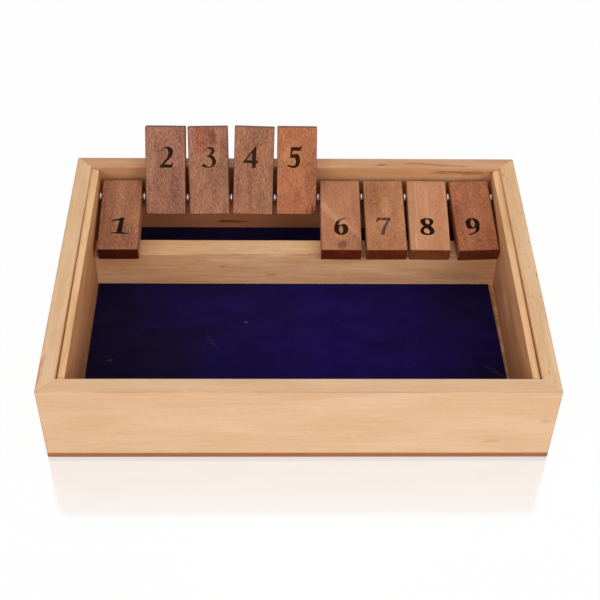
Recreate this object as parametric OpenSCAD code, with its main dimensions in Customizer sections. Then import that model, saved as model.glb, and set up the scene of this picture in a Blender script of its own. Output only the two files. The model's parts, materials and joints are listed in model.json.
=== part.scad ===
// Shut the box: a shallow wooden tray for dice, with nine number tiles that flip over on a steel rod.
// Millimetres. X runs from left to right, Y from front to back and Z up.
// The origin is in the middle of the underside.

/* [Box] */
// Width of the box over its side boards
box_w = 254; // [220:1:320]
// Depth of the box over its front and back boards
box_d = 180; // [160:1:230]
// Height of the rim above the underside
box_h = 50.2; // [44:0.1:70]
// Thickness of the four wall boards
board_t = 8.9; // [6:0.1:12]
// Flat planed off the top edges of the wall boards
board_ease = 0.6; // [0.2:0.1:1.5]
// Flat sanded off the four upright corners of the box
corner_ease = 0.8; // [0.2:0.1:2]
// Thickness of the plywood base panel
base_t = 3.4; // [2:0.1:6]

/* [Side liners] */
// Thickness of the strips that line the side boards and carry the rod
liner_t = 4.4; // [3:0.1:8]
// Depth of the liners' top below the rim
liner_drop = 1.5; // [1:0.1:6]
// Radius of the liners' rounded corner beside the back board
liner_nose_r = 2.6; // [0.5:0.1:2.9]
// Flat planed off the liners' inner top edge
liner_ease = 0.5; // [0.2:0.1:1.2]

/* [Divider] */
// Thickness of the bar between the dice tray and the tile well
divider_t = 12.5; // [8:0.1:18]
// Flat planed off the top edges of the divider
divider_ease = 0.5; // [0.2:0.1:1.5]

/* [Felt] */
// Thickness of the felt on the floor
felt_t = 1; // [0.6:0.1:3]
// Gap between a felt's edge and the wood beside it
felt_gap = 0.3; // [0.1:0.1:1]
// Bare strip beside the right liner, at the front of the dice tray
bare_front = 0.5; // [0.3:0.1:4]
// Bare strip beside the right liner, at the divider
bare_back = 2.8; // [0.3:0.1:6]

/* [Rod and rings] */
// Diameter of the steel rod that the tiles turn on
rod_d = 3; // [2:0.1:4]
// Radial clearance of the rod in the liners
rod_fit = 0.03; // [0.01:0.01:0.1]
// Gap between the rod's ends and the side boards
rod_end_gap = 0.3; // [0.1:0.1:1]
// Outer diameter of the spacer rings on the rod
ring_d = 5.6; // [5.4:0.1:8]
// Width of a spacer ring along the rod
ring_w = 2; // [1.2:0.1:3]
// Radial clearance of a ring on the rod
ring_fit = 0.05; // [0.02:0.01:0.1]
// Play between a ring and the tile or liner on each side
ring_play = 0.17; // [0.12:0.01:0.4]

/* [Number tiles] */
// Length of a tile
tile_l = 50; // [42:0.1:60]
// Thickness of a tile
tile_t = 9.2; // [7:0.1:11]
// Length of a tile behind the rod
tile_tail = 9.1; // [5:0.1:10]
// Flat sanded off every edge of a tile
tile_ease = 0.4; // [0.1:0.1:1]
// Radial clearance of a tile on the rod
tile_fit = 0.08; // [0.02:0.01:0.1]
// Lean of a standing tile back from the vertical, in degrees
tile_lean = 33; // [20:0.5:42]
// Distance from the rod to the rim's edge, along a standing tile
rim_reach = 16.4; // [14:0.1:22]
// Dip of a lying tile below the horizontal, in degrees
tile_dip = 11; // [4:0.5:16]
// Length of a lying tile that overhangs the divider
tile_overhang = 3.8; // [1:0.1:10]
// Gap left between a resting tile and the wood that it rests on
seat_gap = 0.1; // [0.05:0.01:0.3]

/* [Hidden] */

$fn = 64;
// Cutting tools run this far past the wood that they cut
spare = 1;

// Colours of the woods, the felt and the metal
beech = [0.86, 0.67, 0.47];
beech_liner = [0.83, 0.62, 0.41];
plywood = [0.70, 0.50, 0.33];
navy_felt = [0.06, 0.05, 0.14];
steel = [0.62, 0.62, 0.64];
silver = [0.80, 0.80, 0.82];
rosewood = [0.53, 0.29, 0.21];

// The tiles, from left to right: which of them stand, and how many degrees each is out of square with
// its bore, towards the right
tile_count = 9;
tile_stands = [false, true, true, true, true, false, false, false, false];
tile_skew = [0.4, 0.4, -1, 1.6, 0.4, -0.2, 0.4, -0.6, 2.5];

// Space inside the wall boards, and between the liners
inner_w = box_w - 2 * board_t;
inner_d = box_d - 2 * board_t;
well_w = inner_w - 2 * liner_t;
board_h = box_h - base_t;
back_y = inner_d / 2;

// A ring and its play fill each gap along the rod, and the tiles share the rest
tile_gap = ring_w + 2 * ring_play;
tile_w = (well_w - (tile_count + 1) * tile_gap) / tile_count;
tile_pitch = tile_w + tile_gap;

// The rod lies where a standing tile leans on the back board's inner edge
seat = tile_t / 2 + seat_gap;
rim_edge_z = box_h - board_ease;
rod_y = back_y - rim_reach * sin(tile_lean) - seat * cos(tile_lean);
rod_z = rim_edge_z - rim_reach * cos(tile_lean) + seat * sin(tile_lean);

// The divider stands where a lying tile dips onto its front edge
dip_reach = tile_l - tile_tail - tile_overhang;
divider_y = rod_y - dip_reach * cos(tile_dip) + seat * sin(tile_dip) - divider_ease;
divider_z = rod_z - dip_reach * sin(tile_dip) - seat * cos(tile_dip);

// Outline of a bar's cross-section with its top edges eased: t thick and h tall
function eased_bar(t, h, ease) = [
    [0, 0],
    [t, 0],
    [t, h - ease],
    [t - ease, h],
    [ease, h],
    [0, h - ease]
];

// Extrudes a cross-section that is drawn in Y and Z along X
module along_x(length) {
    rotate([90, 0, 90])
        linear_extrude(height = length)
            children();
}

// Block centred on X and Y with all its edges eased, standing on Z = 0
module eased_block(size, ease) {
    translate([0, 0, size.z / 2])
        hull() {
            cube([size.x, size.y - 2 * ease, size.z - 2 * ease], center = true);
            cube([size.x - 2 * ease, size.y, size.z - 2 * ease], center = true);
            cube([size.x - 2 * ease, size.y - 2 * ease, size.z], center = true);
        }
}

// Wedge that takes the mitre and the box's corner off the end of a board at X = 0
module mitre_cut() {
    far = board_t + spare;
    translate([0, 0, -spare])
        linear_extrude(height = board_h + 2 * spare)
            polygon([
                [-spare, -spare],
                [corner_ease + spare, -spare],
                [corner_ease / 2, corner_ease / 2],
                [far, far],
                [-spare, far]
            ]);
}

// Wall board with its outer face on Y = 0, mitred at both ends
module wall_board(length) {
    difference() {
        along_x(length)
            polygon(eased_bar(board_t, board_h, board_ease));
        mitre_cut();
        translate([length, 0, 0])
            mirror([1, 0, 0])
                mitre_cut();
    }
}

module base_panel() {
    x = box_w / 2;
    y = box_d / 2;
    c = corner_ease;
    color(plywood)
        linear_extrude(height = base_t)
            polygon([
                [c - x, -y], [x - c, -y], [x, c - y], [x, y - c],
                [x - c, y], [c - x, y], [-x, y - c], [-x, c - y]
            ]);
}

module front_board() {
    color(beech)
        translate([-box_w / 2, -box_d / 2, base_t])
            wall_board(box_w);
}

module back_board() {
    color(beech)
        translate([box_w / 2, box_d / 2, base_t])
            rotate([0, 0, 180])
                wall_board(box_w);
}

module left_board() {
    color(beech)
        translate([-box_w / 2, box_d / 2, base_t])
            rotate([0, 0, -90])
                wall_board(box_d);
}

module right_board() {
    color(beech)
        translate([box_w / 2, -box_d / 2, base_t])
            rotate([0, 0, 90])
                wall_board(box_d);
}

// Liner's outline from above, with its outer face on X = 0 and its front end on Y = 0
module liner_plan() {
    r = liner_nose_r;
    intersection() {
        square([liner_t, inner_d]);
        union() {
            square([liner_t, inner_d - r]);
            square([liner_t - r, inner_d]);
            translate([liner_t - r, inner_d - r])
                circle(r = r);
        }
    }
}

module left_liner() {
    height = board_h - liner_drop;
    color(beech_liner)
        difference() {
            translate([-inner_w / 2, -back_y, base_t])
                linear_extrude(height = height)
                    liner_plan();
            // The inner top edge
            translate([-well_w / 2, 0, base_t + height])
                rotate([0, 45, 0])
                    cube([liner_ease * sqrt(2), inner_d + 2 * spare, liner_ease * sqrt(2)], center = true);
            // The rod's hole
            translate([-inner_w / 2 - spare, rod_y, rod_z])
                rotate([0, 90, 0])
                    cylinder(r = rod_d / 2 + rod_fit, h = liner_t + 2 * spare);
        }
}

module right_liner() {
    mirror([1, 0, 0])
        left_liner();
}

module divider_bar() {
    color(beech)
        translate([-well_w / 2, divider_y, base_t])
            along_x(well_w)
                polygon(eased_bar(divider_t, divider_z - base_t, divider_ease));
}

// Felt of the dice tray, cut a little out of square at its right edge
module tray_felt() {
    left = felt_gap - well_w / 2;
    front = felt_gap - back_y;
    back = divider_y - felt_gap;
    color(navy_felt)
        translate([0, 0, base_t])
            linear_extrude(height = felt_t)
                polygon([
                    [left, front],
                    [well_w / 2 - bare_front, front],
                    [well_w / 2 - bare_back, back],
                    [left, back]
                ]);
}

module well_felt() {
    front = divider_y + divider_t + felt_gap;
    color(navy_felt)
        translate([felt_gap - well_w / 2, front, base_t])
            cube([well_w - 2 * felt_gap, back_y - felt_gap - front, felt_t]);
}

module hinge_rod() {
    color(steel)
        translate([0, rod_y, rod_z])
            rotate([0, 90, 0])
                cylinder(d = rod_d, h = inner_w - 2 * rod_end_gap, center = true);
}

// Ring with a round rim, its bore along Z
module spacer_ring() {
    difference() {
        rotate_extrude()
            intersection() {
                translate([(ring_d - ring_w) / 2, 0])
                    circle(d = ring_w);
                translate([rod_d / 4, -ring_w])
                    square([ring_d, 2 * ring_w]);
            }
        cylinder(r = rod_d / 2 + ring_fit, h = 2 * ring_w, center = true);
    }
}

module spacer_rings() {
    color(silver)
        for (place = [0 : tile_count])
            translate([(tile_gap - well_w) / 2 + place * tile_pitch, rod_y, rod_z])
                rotate([0, 90, 0])
                    spacer_ring();
}

// One tile on the rod, numbered from 1 at the left
module number_tile(number) {
    swing = tile_stands[number - 1] ? -tile_lean : 90 + tile_dip;
    centre_x = (number - (tile_count + 1) / 2) * tile_pitch;
    color(rosewood)
        translate([centre_x, rod_y, rod_z])
            rotate([swing, 0, 0])
                difference() {
                    rotate([0, tile_skew[number - 1], 0])
                        translate([0, 0, -tile_tail])
                            eased_block([tile_w, tile_t, tile_l], tile_ease);
                    rotate([0, 90, 0])
                        cylinder(r = rod_d / 2 + tile_fit, h = tile_w + 2 * spare, center = true);
                }
}

base_panel();
front_board();
back_board();
left_board();
right_board();
left_liner();
right_liner();
divider_bar();
tray_felt();
well_felt();
hinge_rod();
spacer_rings();
number_tile(1);  // tile_1
number_tile(2);  // tile_2
number_tile(3);  // tile_3
number_tile(4);  // tile_4
number_tile(5);  // tile_5
number_tile(6);  // tile_6
number_tile(7);  // tile_7
number_tile(8);  // tile_8
number_tile(9);  // tile_9
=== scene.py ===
"""Looks of a shut the box game: a mitred beech tray with felt floors and nine rosewood tiles on a rod.

Metres. X runs from left to right, Y from front to back and Z up, with the origin in the middle of the
underside. Each wooden piece carries attributes that its finish reads: "grain" is a point's place in the
plank, in millimetres, with X along the fibres; "end_grain" is 1 where the fibres are cut across; and
"worn" is 1 along rounded edges, which beech darkens as wear and painted edge shade, and
rosewood as painted edge shade. Beech also reads "inside", which is 1 on the faces inside the box, where it
paints shade that darkens towards the floor, and light on the divider, and "seam", which is 1 on the planed
groove between a liner and its side board, painted dark as the shade in that gap. A piece that lacks one of
them counts as 0.
"""
import json
import logging
import math
import re
from collections.abc import Callable, Iterator
from contextlib import contextmanager
from dataclasses import dataclass, replace
from enum import Enum

import bmesh
import bpy
from mathutils import Matrix, Vector, noise


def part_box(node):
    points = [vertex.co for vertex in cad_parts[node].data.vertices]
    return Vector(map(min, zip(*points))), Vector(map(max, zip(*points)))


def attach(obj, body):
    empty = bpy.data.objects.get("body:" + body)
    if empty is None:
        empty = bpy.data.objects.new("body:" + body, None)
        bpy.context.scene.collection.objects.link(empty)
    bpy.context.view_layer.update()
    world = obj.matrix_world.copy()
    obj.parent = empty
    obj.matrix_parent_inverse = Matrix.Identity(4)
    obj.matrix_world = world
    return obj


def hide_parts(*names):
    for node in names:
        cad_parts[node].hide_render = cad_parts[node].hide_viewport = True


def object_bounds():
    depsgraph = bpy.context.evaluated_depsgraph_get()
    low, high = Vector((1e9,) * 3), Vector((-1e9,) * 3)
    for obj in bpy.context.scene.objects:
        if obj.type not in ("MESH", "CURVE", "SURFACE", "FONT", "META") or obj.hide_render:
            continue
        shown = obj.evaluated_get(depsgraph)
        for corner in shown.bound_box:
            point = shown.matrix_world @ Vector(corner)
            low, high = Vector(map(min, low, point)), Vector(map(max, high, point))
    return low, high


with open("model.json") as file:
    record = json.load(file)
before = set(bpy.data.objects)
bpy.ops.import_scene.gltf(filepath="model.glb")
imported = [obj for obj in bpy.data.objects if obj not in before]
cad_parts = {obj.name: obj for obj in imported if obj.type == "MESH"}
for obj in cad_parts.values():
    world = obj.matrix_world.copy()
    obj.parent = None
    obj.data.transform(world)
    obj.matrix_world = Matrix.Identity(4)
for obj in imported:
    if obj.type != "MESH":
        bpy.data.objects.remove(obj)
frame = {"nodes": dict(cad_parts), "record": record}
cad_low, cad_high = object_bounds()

log = logging.getLogger("shut_the_box")

Colour = tuple[float, float, float, float]
Triple = tuple[float, float, float]
Pair = tuple[float, float]
Socket = bpy.types.NodeSocket
Piece = bpy.types.Object

WHITE: Colour = (1.0, 1.0, 1.0, 1.0)
MM = 0.001
# Points closer together than this count as touching, and those nearer still are merged into one
TOUCH = 0.00001
MERGE = TOUCH / 10
# A bevel's profile where it is rounded, and where it is planed flat
ROUNDED = 0.5
PLANED = 0.25
# How far apart two planks lie in the timber that the woods are cut from, in millimetres
PLANK_SHIFT = Vector((371.0, 193.0, 117.0))
# Numbers of the planks that the tiles are cut from, and of the stretches that wear their printed figures
TILE_PLANKS = 10
FIGURE_PLANKS = 30
# A face shows end grain from this lean towards the fibres' ends, and in full this much further
CUT_LEAN = 0.45
CUT_RANGE = 0.4
# How squarely a face looks in a direction to count as looking that way
FACING = 0.5
# Noise lies between these levels nearly everywhere
NOISE_LOW = 0.3
NOISE_HIGH = 0.7
# Flats round a bored hole
BORE_SIDES = 40
# Sharpest angle over which felt and rings are shaded smooth, and over which wood is, in degrees
SOFT_ANGLE = 50.0
WOOD_ANGLE = 40.0


class Side(Enum):
    """A wall of the box, with the direction that its outer face looks in."""

    FRONT = (0.0, -1.0, 0.0)
    BACK = (0.0, 1.0, 0.0)
    LEFT = (-1.0, 0.0, 0.0)
    RIGHT = (1.0, 0.0, 0.0)

    @property
    def outward(self) -> Vector:
        """The outer face's direction."""
        return Vector(self.value)

    @property
    def along(self) -> Vector:
        """The direction of the board's length."""
        return Vector((abs(self.value[1]), abs(self.value[0]), 0.0))


class Grain(Enum):
    """Which way the fibres run in a piece, as the order of its axes: along, across and through."""

    ALONG_X = (0, 1, 2)
    ALONG_Y = (1, 0, 2)
    ALONG_Z = (2, 0, 1)


class Face(Enum):
    """A broad face of a tile: the one that shows while the tile stands, or while it lies."""

    STANDING = -1
    LYING = 1


def srgb(red: int, green: int, blue: int) -> Colour:
    """A colour given as it looks on screen.

    Args:
        red: Red, from 0 to 255.
        green: Green, from 0 to 255.
        blue: Blue, from 0 to 255.

    Returns:
        The linear colour that a shader takes.
    """

    def linear(level: int) -> float:
        """One channel, made linear."""
        share = level / 255
        return share / 12.92 if share <= 0.04045 else ((share + 0.055) / 1.055) ** 2.4

    return (linear(red), linear(green), linear(blue), 1.0)


# Modelling


def take(piece: Piece) -> None:
    """Makes one object the only selected and the active one.

    Args:
        piece: The object.
    """
    bpy.ops.object.select_all(action="DESELECT")
    piece.select_set(True)
    bpy.context.view_layer.objects.active = piece


@contextmanager
def editing(piece: Piece) -> Iterator[None]:
    """Holds a piece in edit mode with all of it selected.

    Args:
        piece: The piece.
    """
    take(piece)
    bpy.ops.object.mode_set(mode="EDIT")
    bpy.ops.mesh.select_mode(type="VERT")
    bpy.ops.mesh.select_all(action="SELECT")
    yield
    bpy.ops.object.mode_set(mode="OBJECT")


def pick(kind: str, wanted: Callable[..., bool]) -> None:
    """Selects the parts of the piece in edit mode that pass a test.

    Args:
        kind: VERT for vertices, or EDGE for edges.
        wanted: Says yes or no to a vertex's place, or to the places of an edge's two ends.
    """
    mesh_data = bpy.context.active_object.data
    bpy.ops.mesh.select_all(action="DESELECT")
    bpy.ops.mesh.select_mode(type=kind)
    mesh = bmesh.from_edit_mesh(mesh_data)
    for part in mesh.edges if kind == "EDGE" else mesh.verts:
        ends = part.verts if kind == "EDGE" else [part]
        part.select_set(wanted(*[end.co for end in ends]))
    bmesh.update_edit_mesh(mesh_data)


def ease_edges(
    wanted: Callable[[Vector, Vector], bool], radius: float, segments: int = 3, profile: float = ROUNDED
) -> None:
    """Takes the sharpness off some edges of the piece in edit mode.

    Args:
        wanted: Says yes or no to an edge's two ends.
        radius: How far the easing reaches from the edge.
        segments: Number of flats round the edge.
        profile: Whether the edge is rounded or planed.
    """
    pick("EDGE", wanted)
    bpy.ops.mesh.bevel(offset=radius, segments=segments, profile=profile, affect="EDGES")


def saw(point: Vector, outward: Vector) -> None:
    """Cuts the piece in edit mode along a plane, and drops the part beyond it.

    Args:
        point: A point on the plane.
        outward: The plane's normal, towards the part that goes.
    """
    bpy.ops.mesh.select_mode(type="VERT")
    bpy.ops.mesh.select_all(action="SELECT")
    bpy.ops.mesh.bisect(plane_co=point, plane_no=outward, use_fill=True, clear_outer=True)


def name_new(name: str) -> Piece:
    """Names the piece that was just added, and its mesh.

    Args:
        name: The name.

    Returns:
        The piece.
    """
    piece = bpy.context.active_object
    piece.name = piece.data.name = name
    return piece


def add_block(name: str, low: Vector, high: Vector) -> Piece:
    """Adds a sawn block of wood between two corners.

    Args:
        name: The piece's name.
        low: Its lowest corner.
        high: Its highest corner.

    Returns:
        The block, with its place in its mesh.
    """
    bpy.ops.object.select_all(action="DESELECT")
    bpy.ops.mesh.primitive_cube_add(size=1.0, location=(low + high) / 2)
    piece = name_new(name)
    piece.scale = high - low
    fix_place(piece)
    return piece


def fix_place(piece: Piece) -> None:
    """Moves an object's place, turn and scale into its mesh.

    Args:
        piece: The object.
    """
    take(piece)
    bpy.ops.object.transform_apply(location=True, rotation=True, scale=True)


def bore(piece: Piece, centre: Vector, turn: Matrix, radius: float, length: float) -> None:
    """Drills a round hole through a piece.

    Args:
        piece: The piece.
        centre: The middle of the hole.
        turn: How the drill is turned from upright.
        radius: The hole's radius.
        length: How far the drill reaches in all.
    """
    bpy.ops.object.select_all(action="DESELECT")
    bpy.ops.mesh.primitive_cylinder_add(vertices=BORE_SIDES, radius=radius, depth=length)
    drill = bpy.context.active_object
    drill.matrix_world = Matrix.Translation(centre) @ turn
    fix_place(drill)
    take(piece)
    cut = piece.modifiers.new("bore", "BOOLEAN")
    cut.operation = "DIFFERENCE"
    cut.object = drill
    cut.solver = "EXACT"
    bpy.ops.object.modifier_apply(modifier=cut.name)
    bpy.data.objects.remove(drill)


def smooth(piece: Piece) -> None:
    """Shades a piece smooth across its rounded edges and flat over its broad faces.

    Args:
        piece: The piece.
    """
    take(piece)
    bpy.ops.object.shade_smooth_by_angle(angle=math.radians(WOOD_ANGLE))
    weighted = piece.modifiers.new("even_normals", "WEIGHTED_NORMAL")
    weighted.keep_sharp = True
    bpy.ops.object.modifier_apply(modifier=weighted.name)


def write(piece: Piece, name: str, domain: str, level: Callable[[bpy.types.bpy_struct], float]) -> None:
    """Writes a number on each vertex or face of a piece, for its finish to read.

    Args:
        piece: The piece.
        name: The attribute's name.
        domain: POINT for the vertices, or FACE for the faces.
        level: Gives a vertex's or a face's number.
    """
    parts = piece.data.vertices if domain == "POINT" else piece.data.polygons
    entries = piece.data.attributes.new(name, "FLOAT", domain).data
    for part, entry in zip(parts, entries):
        entry.value = level(part)


def lay_grain(piece: Piece, grain: Grain, plank: int) -> None:
    """Writes a piece's place in its plank, and where its fibres are cut across.

    Args:
        piece: The piece.
        grain: Which way its fibres run.
        plank: A number of its own, so that no two pieces show the same stretch of wood.
    """
    shift = PLANK_SHIFT * plank
    along = grain.value[0]
    places = piece.data.attributes.new("grain", "FLOAT_VECTOR", "POINT").data
    for vertex, entry in zip(piece.data.vertices, places):
        entry.vector = Vector([vertex.co[axis] / MM for axis in grain.value]) + shift

    def cut_across(face: bpy.types.MeshPolygon) -> float:
        """How far a face cuts across the fibres, from 0 to 1."""
        return min(max((abs(face.normal[along]) - CUT_LEAN) / CUT_RANGE, 0.0), 1.0)

    write(piece, "end_grain", "FACE", cut_across)


def mark_edge_wear_and_shade(piece: Piece, low: Vector, high: Vector, reach: float) -> None:
    """Marks the rounded edges of a blocky piece, which its finish darkens as wear and painted edge shade.

    Args:
        piece: The piece.
        low: Lowest corner of the block that it was cut from.
        high: Highest corner of that block.
        reach: How far the rounding reaches from an edge.
    """

    def worn(vertex: bpy.types.MeshVertex) -> float:
        """1 on a rounded edge, and 0 elsewhere."""
        depths = [min(vertex.co[axis] - low[axis], high[axis] - vertex.co[axis]) for axis in range(3)]
        return float(sum(TOUCH < depth < reach - TOUCH for depth in depths) >= 2)

    write(piece, "worn", "POINT", worn)


def mark_inside(piece: Piece, *looks: Vector) -> None:
    """Marks the faces of a piece that lie inside the box, where the beech finish paints shade.

    Args:
        piece: The piece.
        *looks: The directions that those faces look in.
    """
    write(piece, "inside", "FACE", lambda face: any(face.normal.dot(look) > FACING for look in looks))


def hand_over(piece: Piece, body: str, slot: str, finish: bpy.types.Material, *nodes: str) -> None:
    """Dresses a finished piece, lets it ride on its body, and reports it.

    Args:
        piece: The piece.
        body: The body that it moves with.
        slot: The material slot in the record that its finish stands for; it is not used.
        finish: Its material.
        *nodes: CAD nodes that it stands for.
    """
    piece.data.materials.clear()
    piece.data.materials.append(finish)
    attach(piece, body)
    if nodes:
        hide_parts(*nodes)
    log.info("%s rides on %s in %s, %d faces", piece.name, body, finish.name, len(piece.data.polygons))


# Finishes


class Desk:
    """Lays out the nodes of one material, or of the sky."""

    def __init__(self, name: str, shelf: str = "materials") -> None:
        """Starts with no nodes.

        Args:
            name: The name of the material or the sky.
            shelf: Where it is kept: materials, or worlds for a sky.
        """
        self.owner = getattr(bpy.data, shelf).new(name)
        self.owner.use_nodes = True
        self.nodes = self.owner.node_tree.nodes
        self.links = self.owner.node_tree.links
        self.nodes.clear()

    def node(self, kind: str, inputs: dict, **settings: object) -> bpy.types.Node:
        """Adds a node.

        Args:
            kind: Its type, without the ShaderNode in front.
            inputs: Its inputs by name or number, each a socket to link or a plain value.
            **settings: Its other settings.

        Returns:
            The node.
        """
        made = self.nodes.new("ShaderNode" + kind)
        for key, value in settings.items():
            setattr(made, key, value)
        for key, value in inputs.items():
            if isinstance(value, Socket):
                self.links.new(value, made.inputs[key])
            else:
                made.inputs[key].default_value = value
        return made

    def grain(self) -> Socket:
        """A point's place in its plank, in millimetres."""
        return self.node("Attribute", {}, attribute_name="grain").outputs["Vector"]

    def level(self, name: str) -> Socket:
        """The number that one of the piece's other attributes holds."""
        return self.node("Attribute", {}, attribute_name=name).outputs["Fac"]

    def place(self) -> Socket:
        """A point's place on the object, in metres."""
        return self.node("TexCoord", {}).outputs["Object"]

    def measure(self, axis: str, place: Socket) -> Socket:
        """A place's measure along X, Y or Z."""
        return self.node("SeparateXYZ", {"Vector": place}).outputs[axis]

    def direct_view(self) -> Socket:
        """Tells the camera's rays, and those that metal or glass throws on, from light's own rays.

        Returns:
            1 on the former and 0 on the latter.
        """
        path = self.node("LightPath", {}).outputs
        mirrored = self.maths("MAXIMUM", path["Is Glossy Ray"], path["Is Transmission Ray"])
        return self.maths("MAXIMUM", path["Is Camera Ray"], mirrored)

    def stretch(self, place: Socket, size: Triple, shift: float = 0.0) -> Socket:
        """A place counted in marks of some size, so that a texture of scale 1 draws marks of that size.

        Args:
            place: The place.
            size: Length, width and depth of a mark.
            shift: How far the pattern is moved, in marks.

        Returns:
            The place in marks.
        """
        scale = tuple(1 / measure for measure in size)
        mapped = self.node("Mapping", {"Vector": place, "Scale": scale, "Location": (shift,) * 3})
        return mapped.outputs["Vector"]

    def noise(
        self,
        place: Socket,
        size: Triple,
        detail: float = 2.0,
        rough: float = 0.5,
        bend: float = 0.0,
        shift: float = 0.0,
    ) -> Socket:
        """Cloudy noise from 0 to 1.

        Args:
            place: The place.
            size: Length, width and depth of a cloud.
            detail: How many finer layers it has.
            rough: How strong those are.
            bend: How much its clouds are bent.
            shift: How far the pattern is moved, in clouds.

        Returns:
            The noise.
        """
        marks = self.stretch(place, size, shift)
        inputs = {"Vector": marks, "Scale": 1.0, "Detail": detail, "Roughness": rough, "Distortion": bend}
        return self.node("TexNoise", inputs).outputs["Fac"]

    def fade(self, value: Socket, start: float, end: float, low: float = 0.0, high: float = 1.0) -> Socket:
        """A value carried from one range to another, softly and clamped.

        Args:
            value: The value.
            start: Where it gives low.
            end: Where it gives high.
            low: What it starts from.
            high: What it ends at.

        Returns:
            The new value.
        """
        inputs = {"Value": value, 1: start, 2: end, 3: low, 4: high}
        made = self.node("MapRange", inputs, interpolation_type="SMOOTHSTEP")
        return made.outputs["Result"]

    def spread(self, noise_level: Socket, low: float = 0.0, high: float = 1.0) -> Socket:
        """Noise carried to the range from low to high."""
        return self.fade(noise_level, NOISE_LOW, NOISE_HIGH, low, high)

    def maths(self, operation: str, first: Socket, second: Socket | float) -> Socket:
        """One step of arithmetic.

        Args:
            operation: What is done, such as MULTIPLY.
            first: The first value.
            second: The second value.

        Returns:
            The result.
        """
        return self.node("Math", {0: first, 1: second}, operation=operation).outputs["Value"]

    def mix(self, share: Socket | float, first: Socket | Colour, second: Socket | Colour) -> Socket:
        """A blend of two colours.

        Args:
            share: How much of the second there is.
            first: The first colour.
            second: The second colour.

        Returns:
            The blend.
        """
        inputs = {"Factor": share, "A": first, "B": second}
        made = self.nodes.new("ShaderNodeMix")
        made.data_type = "RGBA"
        for entry in made.inputs:
            value = inputs.get(entry.name) if entry.enabled else None
            if isinstance(value, Socket):
                self.links.new(value, entry)
            elif value is not None:
                entry.default_value = value
        return next(entry for entry in made.outputs if entry.enabled)

    def vectors(self, operation: str, *inputs: Socket | Triple) -> bpy.types.bpy_prop_collection:
        """The outputs of one step of vector maths."""
        return self.node("VectorMath", dict(enumerate(inputs)), operation=operation).outputs

    def dim(self, colour: Socket | Triple, noise_level: Socket, low: float, high: float) -> Socket:
        """A colour made darker and lighter by noise.

        Args:
            colour: The colour.
            noise_level: The noise.
            low: What the colour is multiplied by where the noise is low.
            high: What it is multiplied by where the noise is high.

        Returns:
            The new colour.
        """
        inputs = {0: colour, "Scale": self.spread(noise_level, low, high)}
        return self.node("VectorMath", inputs, operation="SCALE").outputs["Vector"]

    def bump(self, height: Socket, depth: float) -> Socket:
        """Surface normals of a relief.

        Args:
            height: The relief, from 0 to 1.
            depth: Its depth in metres.

        Returns:
            The normals.
        """
        return self.node("Bump", {"Height": height, "Distance": depth, "Strength": 1.0}).outputs["Normal"]

    def finish(self, inputs: dict) -> bpy.types.Material:
        """Ends the material in one surface shader.

        Args:
            inputs: The shader's inputs by name.

        Returns:
            The material.
        """
        shader = self.node("BsdfPrincipled", inputs)
        self.node("OutputMaterial", {"Surface": shader.outputs["BSDF"]})
        return self.owner


@dataclass(frozen=True)
class Mark:
    """A patch of other colour, such as a knot or a heart streak in wood, or lint on felt.

    Its place and size are in millimetres along the fibres, across them and through the piece, or on felt
    along X, Y and Z. Its slant is in degrees. Its share is how much of it shows, and torn is how ragged its
    edge is, in tears of a size of their own. It fades in along its edge, from the first distance to the
    second, both counted from its middle in half sizes.
    """

    colour: Colour
    at: Triple
    size: Triple
    slant: float = 0.0
    share: float = 0.8
    torn: float = 0.5
    tear: Triple = (7.0, 1.1, 1.1)
    tear_levels: Pair = (0.25, 0.75)
    edge: Pair = (1.2, 0.3)

    def lay(self, desk: Desk, grain: Socket, plank: int, under: Socket) -> Socket:
        """Lays the mark over the wood or the felt.

        Args:
            desk: The material's desk.
            grain: The place in the plank, in millimetres.
            plank: The number of the piece's plank.
            under: The colour beneath it.

        Returns:
            The colour with the mark.
        """
        centre = -(PLANK_SHIFT * plank + Vector(self.at))
        centred = desk.node("Mapping", {"Vector": grain, "Location": centre}).outputs["Vector"]
        turn = (0.0, 0.0, math.radians(self.slant))
        turned = desk.node("Mapping", {"Vector": centred, "Rotation": turn}).outputs["Vector"]
        sized = desk.stretch(turned, tuple(measure / 2 for measure in self.size))
        away = desk.vectors("LENGTH", sized)["Value"]
        ragged = desk.noise(grain, self.tear, shift=5.0)
        away = desk.maths("ADD", away, desk.fade(ragged, *self.tear_levels, -self.torn, self.torn))
        return desk.mix(desk.fade(away, *self.edge, 0.0, self.share), under, self.colour)


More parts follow.
